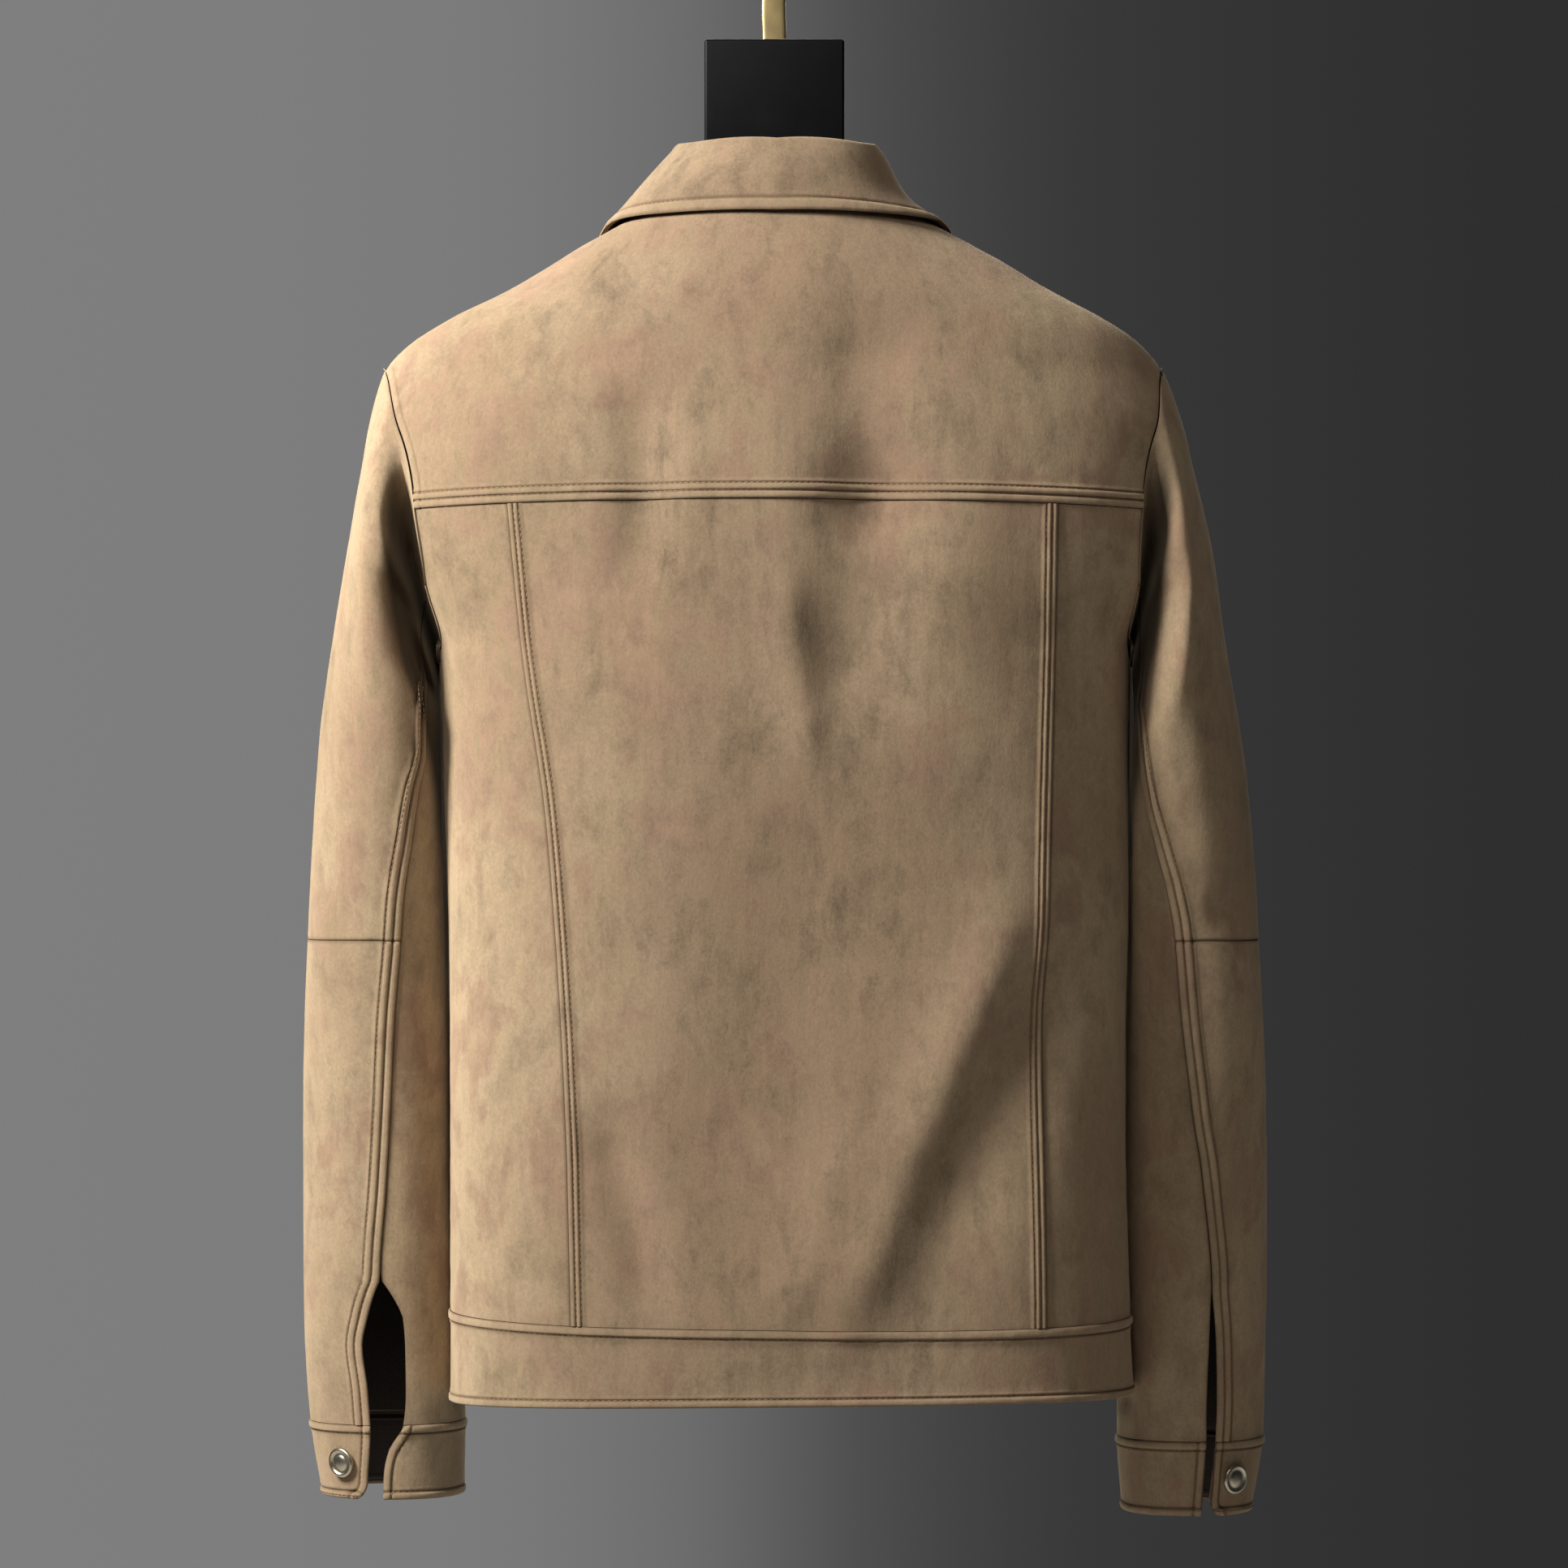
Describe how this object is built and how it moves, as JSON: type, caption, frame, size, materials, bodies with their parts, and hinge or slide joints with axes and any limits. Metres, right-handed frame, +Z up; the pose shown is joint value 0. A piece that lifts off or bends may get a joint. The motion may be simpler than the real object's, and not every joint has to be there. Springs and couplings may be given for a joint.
{
  "type": "suede jacket on a hanger",
  "caption": "Long-sleeved suede jacket in a trucker cut, hanging from a hanger with a flat black head plate and a brass hook.",
  "frame": {"origin": "inside top of the hanger's hook, where a rail carries it", "axes": "+Z up, -Y towards the back of the jacket, +X towards the wearer's right"},
  "size_m": [0.5283, 0.2154, 0.8922],
  "materials": {
    "suede": "napped tan suede, matt, with soft mottling",
    "button": "pale satin metal",
    "hanger_black": "satin black",
    "hook_brass": "brushed brass"
  },
  "bodies": {
    "root": {"back_yoke": "suede", "back_centre_panel": "suede", "back_side_panel_left": "suede", "back_side_panel_right": "suede", "front_left": "suede", "front_right": "suede", "front_placket": "suede", "hem_band": "suede", "collar": "suede", "sleeve_upper_left": "suede", "sleeve_forearm_left": "suede", "sleeve_under_left": "suede", "cuff_left": "suede", "sleeve_upper_right": "suede", "sleeve_forearm_right": "suede", "sleeve_under_right": "suede", "cuff_right": "suede", "cuff_button_left": "button", "cuff_button_right": "button", "front_button_1": "button", "front_button_2": "button", "front_button_3": "button", "front_button_4": "button", "front_button_5": "button", "front_button_6": "button", "hem_band_button": "button", "hanger_arms": "hanger_black", "hanger_plate": "hanger_black", "hanger_hook": "hook_brass"}
  },
  "joints": []
}
